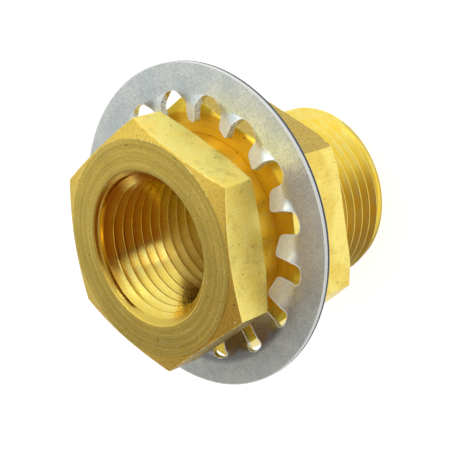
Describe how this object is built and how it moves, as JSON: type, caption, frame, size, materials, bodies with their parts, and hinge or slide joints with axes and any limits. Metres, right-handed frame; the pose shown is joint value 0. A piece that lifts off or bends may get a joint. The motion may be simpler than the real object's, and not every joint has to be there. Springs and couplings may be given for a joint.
{
  "type": "tank connector",
  "caption": "Hexagon-headed pipe coupling that passes through a tank wall, threaded inside at both ends and held by a twisted-tooth lock washer and a lock nut.",
  "frame": {"origin": "centre of the tail port's mouth, in the end face on which the fitting stands, on the axis of the body", "axes": "+Z along the body's axis from the threaded tail to the hexagon head, +X through a corner of the head's hexagon"},
  "size_m": [0.0476, 0.0476, 0.0371],
  "materials": {
    "body_brass": "turned and drawn, bright with fine tool marks",
    "nut_brass": "drawn hexagon flats with a fine grain, bright turned thread",
    "zinc_plated_steel": "bright zinc plate, slightly mottled, with sheared edges"
  },
  "bodies": {
    "coupling_body": {"coupling_body": "body_brass"},
    "tooth_lock_washer": {"tooth_lock_washer": "zinc_plated_steel"},
    "lock_nut": {"lock_nut": "nut_brass"}
  },
  "joints": [
    {"name": "nut_travel", "type": "slide", "parent": "coupling_body", "child": "tooth_lock_washer", "axis": [0, 0, 1], "range_m": [-0.01427, 0]},
    {"name": "nut_turn", "type": "hinge", "parent": "tooth_lock_washer", "child": "lock_nut", "pos_m": [0, 0, 0.0202], "axis": [0, 0, 1], "range_deg": [-2831, 0]}
  ],
  "couplings": [
    {"joint": "nut_travel", "follows": "nut_turn", "m_per_rad": 0.00028875}
  ]
}
